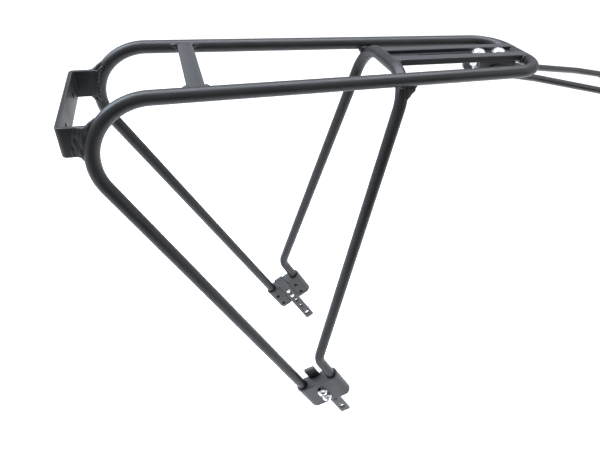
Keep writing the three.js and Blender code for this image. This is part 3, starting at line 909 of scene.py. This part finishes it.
def build_feet():
    washer_y = LOBE_RADIUS + SKIN_GAP
    head_y = washer_y + FOOT_WASHER["thickness"] + SKIN_GAP
    for side, turn in SIDES.items():
        foot = turn @ FOOT
        body = f"dropout_{side}"
        block = move(foot_block(f"foot_block_skin_{side}"), foot)
        hand_in(block, "frame", "casting_coat", CASTING_COAT, f"foot_block_{side}", crease=80)
        plate = move(tongue(f"dropout_tongue_skin_{side}"), foot)
        hand_in(plate, body, "steel_coat", STEEL_COAT, f"dropout_tongue_{side}")
        outwards = (turn.to_3x3() @ foot_out).normalized()
        for label, height in SCREW_HEIGHTS.items():
            ring = washer(f"foot_washer_skin_{label}_{side}", **FOOT_WASHER)
            move(ring, aim(foot @ Vector((TONGUE_CENTRE, washer_y, height)), outwards))
            hand_in(ring, body, "bright_steel", ZINC, f"foot_washer_{label}_{side}")
            bolt = screw(f"foot_screw_skin_{label}_{side}", **FOOT_SCREW)
            move(bolt, aim(foot @ Vector((TONGUE_CENTRE, head_y, height)), outwards))
            hand_in(bolt, body, "bright_steel", ZINC, f"foot_screw_{label}_{side}")


# ---------- seat-stay bracket, its bolts and the stays ----------

def build_bracket():
    """A channel that opens downwards, with its lower corners cut round."""
    half, corner = BRACKET_HALF_WIDTH, BRACKET_CORNER
    bottom = BRACKET_TOP - BRACKET_DROP
    inside, ceiling = half - BRACKET_THICKNESS, BRACKET_TOP - BRACKET_THICKNESS
    corners = [
        (-half, bottom), (-half, BRACKET_TOP), (half, BRACKET_TOP), (half, bottom),
        (inside, bottom), (inside, ceiling), (-inside, ceiling), (-inside, bottom),
    ]
    section = rounded(corners, [0.5, 3.0, 3.0, 0.5, 0.5, 0.8, 0.8, 0.5])
    channel = bar_along_x("stay_bracket_skin", section, BRACKET_BACK, BRACKET_FRONT)
    above = BRACKET_TOP + OVERCUT
    side = rounded(
        [(BRACKET_BACK, bottom), (BRACKET_FRONT, bottom), (BRACKET_FRONT, above), (BRACKET_BACK, above)],
        [corner, corner, 0, 0],
        10,
    )
    across = half + OVERCUT
    combine(channel, "INTERSECT", move(prism("tool", side, -across, across), XY_TO_XZ))
    bolt_hole = (ceiling - OVERCUT, BRACKET_TOP + OVERCUT)
    holes = [prism("tool", circle(STAY_BOLT_HOLE_RADIUS, 32, x), *bolt_hole) for x in STAY_BOLT_X.values()]
    pivot = prism("tool", circle(PIVOT_HOLE_RADIUS, 32, STAY_PIVOT.x, STAY_PIVOT.z), -across, across)
    cut(channel, *holes, move(pivot, XY_TO_XZ))
    hand_in(channel, "stay_carriage", "steel_coat", STEEL_COAT, "stay_bracket")


def build_stay_bolts():
    body = "stay_carriage"
    washer_z = GROOVE_FLOOR + SKIN_GAP
    head_z = washer_z + STAY_WASHER["thickness"] + SKIN_GAP
    nut_z = BRACKET_TOP - BRACKET_THICKNESS - SKIN_GAP - STAY_NUT["height"]
    for label, x in STAY_BOLT_X.items():
        ring = washer(f"stay_bolt_washer_skin_{label}", **STAY_WASHER)
        move(ring, Matrix.Translation((x, 0, washer_z)))
        hand_in(ring, body, "bright_steel", ZINC, f"stay_bolt_washer_{label}")
        bolt = screw(f"stay_bolt_skin_{label}", **STAY_BOLT)
        move(bolt, aim(Vector((x, 0, head_z)), Z_AXIS))
        hand_in(bolt, body, "bright_steel", ZINC, f"stay_bolt_{label}")
        hexagon = nut(f"stay_bolt_nut_skin_{label}", **STAY_NUT)
        move(hexagon, Matrix.Translation((x, 0, nut_z)))
        hand_in(hexagon, body, "bright_steel", ZINC, f"stay_bolt_nut_{label}")


def ease(share):
    share = max(0.0, min(1.0, share))
    return share * share * (3 - 2 * share)


def stay_section(flatness, width, thickness):
    """From a round rod (0) to a flat blade (1), inner face on y = 0."""
    power = 2 + 5 * flatness
    points = []
    for k in range(44):
        angle = 2 * math.pi * k / 44
        c, s = math.cos(angle), math.sin(angle)
        y = thickness / 2 * math.copysign(abs(c) ** (2 / power), c) + thickness / 2
        z = width / 2 * math.copysign(abs(s) ** (2 / power), s)
        points.append((y, z))
    return points


def stay_stations():
    """The stay's points and tangents, from the pivot eye's tip at -EYE_RADIUS to the far eye's tip."""
    end = STAY_LENGTH - EYE_LENGTH
    route = bent_path(
        [
            Vector((EYE_LENGTH, 0, 0)),
            Vector((EYE_LENGTH + STAY_STRAIGHT, 0, 0)),
            Vector((end - STAY_STRAIGHT, STAY_SPLAY, 0)),
            Vector((end, STAY_SPLAY, 0)),
        ],
        [STAY_BEND, STAY_BEND],
        bend_step=3.0,
        straight_step=4.0,
    )
    tip = [-EYE_RADIUS * math.cos(math.pi / 2 * k / 10) for k in range(11)]
    lead = [*tip, *range(2, int(EYE_LENGTH), 2)]
    near_eye = [(X_AXIS * x, X_AXIS) for x in lead]
    far_eye = [(Vector((STAY_LENGTH - x, STAY_SPLAY, 0)), X_AXIS) for x in reversed(lead)]
    return near_eye + route + far_eye


def seat_stay(name):
    """A round rod whose two ends are pressed flat into round eyes; the pivot eye is at x = 0."""
    rod, press_length = 2 * ROD_RADIUS, 12.0
    rings = []
    for point, tangent in stay_stations():
        inset = min(point.x, STAY_LENGTH - point.x)
        flatness = 1 - ease((inset - 5.0) / press_length)
        thickness = rod + (EYE_THICKNESS - rod) * flatness
        width = rod + (2 * EYE_RADIUS - rod) * (1 - ease((inset - 3.0) / press_length))
        if inset < 0:
            width = 2 * math.sqrt(max(0.04, EYE_RADIUS**2 - inset**2))
        across = Vector((-tangent.y, tangent.x, 0))
        section = stay_section(flatness, width, thickness)
        rings.append([point + across * y + Z_AXIS * z for y, z in section])
    stay = loft(name, rings)
    holes = []
    for x in (0.0, STAY_LENGTH):
        hole = prism("tool", circle(EYE_HOLE_RADIUS, 36, x), -30, 10)
        holes.append(move(hole, XY_TO_XZ))
    return cut(stay, *holes)


def build_stays():
    carriage = "stay_carriage"
    inner_face = BRACKET_HALF_WIDTH + STAY_GAP
    head_y = inner_face + EYE_THICKNESS + SKIN_GAP
    nut_y = BRACKET_HALF_WIDTH - BRACKET_THICKNESS - SKIN_GAP - PIVOT_NUT["height"]
    place = Matrix.Translation(STAY_PIVOT + Y_AXIS * inner_face) @ Matrix.Rotation(STAY_PITCH, 4, "Y")
    for side, turn in SIDES.items():
        stay = move(seat_stay(f"seat_stay_skin_{side}"), turn @ place)
        hand_in(stay, f"stay_{side}", "tube_coat", STEEL_COAT, f"seat_stay_{side}")
        outwards = turn.to_3x3() @ Y_AXIS
        bolt = screw(f"stay_pivot_screw_skin_{side}", **PIVOT_SCREW)
        move(bolt, aim(turn @ (STAY_PIVOT + Y_AXIS * head_y), outwards))
        hand_in(bolt, carriage, "steel_coat", STEEL_COAT, f"stay_pivot_screw_{side}")
        hexagon = nut(f"stay_pivot_nut_skin_{side}", **PIVOT_NUT)
        move(hexagon, aim(turn @ (STAY_PIVOT + Y_AXIS * nut_y), outwards))
        hand_in(hexagon, carriage, "steel_coat", STEEL_COAT, f"stay_pivot_nut_{side}")


# ---------- studio ----------

CAMERA_PLACE = Vector((-0.16343, -0.33116, 0.52284))
CAMERA_YAW = 0.33327
CAMERA_PITCH = 0.66235
CAMERA_ROLL = 0.08152
CAMERA_LENS = 27.43
CAMERA_SENSOR = 36
CAMERA_SHIFT_Y = -0.0225

LIGHT_TARGET = Vector((0.04, 0.0, 0.2))
SKY_LIGHT, SKY_SEEN = 0.55, 1.1
FLOOR_DROP = 0.28
FLOOR_HALF_SPAN = 14.0
CARD_Y = -0.95
CARD_HALF_WIDTH = 1.3
CARD_TOP = 0.45
CARD_LIFT = 0.01


def build_camera():
    view = bpy.data.cameras.new("camera")
    view.lens = CAMERA_LENS
    view.sensor_width = CAMERA_SENSOR
    view.shift_y = CAMERA_SHIFT_Y
    view.clip_start = 0.01
    camera = place_object("camera", view)
    forward = Vector((
        math.sin(CAMERA_YAW) * math.cos(CAMERA_PITCH),
        math.cos(CAMERA_YAW) * math.cos(CAMERA_PITCH),
        -math.sin(CAMERA_PITCH),
    ))
    turn = forward.to_track_quat("-Z", "Y") @ Quaternion((0, 0, 1), CAMERA_ROLL)
    camera.matrix_world = Matrix.Translation(CAMERA_PLACE) @ turn.to_matrix().to_4x4()
    bpy.context.scene.camera = camera


def area_light(name, place, size, power, colour):
    lamp = bpy.data.lights.new(name, "AREA")
    lamp.shape = "RECTANGLE"
    lamp.size, lamp.size_y = size
    lamp.energy = power
    lamp.color = colour
    lit = place_object(name, lamp)
    turn = (LIGHT_TARGET - place).to_track_quat("-Z", "Y")
    lit.matrix_world = Matrix.Translation(place) @ turn.to_matrix().to_4x4()


def build_sky():
    """A white surround that looks brighter than the light it gives."""
    world = bpy.data.worlds.new("studio")
    world.use_nodes = True
    nodes, links = world.node_tree.nodes, world.node_tree.links
    sky = nodes["Background"]
    sky.inputs["Color"].default_value = (1, 1, 1, 1)
    seen = nodes.new("ShaderNodeLightPath").outputs["Is Camera Ray"]
    links.new(remap(nodes, links, seen, SKY_LIGHT, SKY_SEEN, 0.0, 1.0), sky.inputs["Strength"])
    bpy.context.scene.world = world
    bpy.context.scene.view_settings.view_transform = "Standard"


def build_floor(low):
    span = FLOOR_HALF_SPAN
    corners = [(-span, -span, low), (span, -span, low), (span, span, low), (-span, span, low)]
    floor = new_solid("floor", corners, [(0, 1, 2, 3)])
    floor.data.materials.append(plain_floor("pale_floor"))


def build_card(low):
    """A dark card at the near side that only reflections see, so that the near faces stay black."""
    half, bottom = CARD_HALF_WIDTH, low + CARD_LIFT
    ends = ((-half, bottom), (half, bottom), (half, CARD_TOP), (-half, CARD_TOP))
    card = new_solid("dark_card", [(x, CARD_Y, z) for x, z in ends], [(0, 1, 2, 3)])
    card.data.materials.append(dark_card("dark_card"))
    card.visible_camera = False
    card.visible_shadow = False
    card.visible_diffuse = False


def build_studio():
    build_sky()
    area_light("overhead", Vector((0.1, 0.25, 1.5)), (1.9, 0.7), 44, (0.86, 0.92, 1.0))
    area_light("rear_window", Vector((-1.15, 0.5, 1.35)), (0.8, 0.9), 34, (0.74, 0.86, 1.0))
    area_light("front_fill", Vector((1.4, -0.8, 0.9)), (1.0, 1.0), 4, (1.0, 0.99, 0.97))
    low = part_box("dropout_tongue_left")[0].z - FLOOR_DROP
    build_floor(low)
    build_card(low)


build_camera()
build_tubes()
build_cross_plate()
build_rail()
build_light_bracket()
build_welds()
build_feet()
build_bracket()
build_stay_bolts()
build_stays()
build_studio()
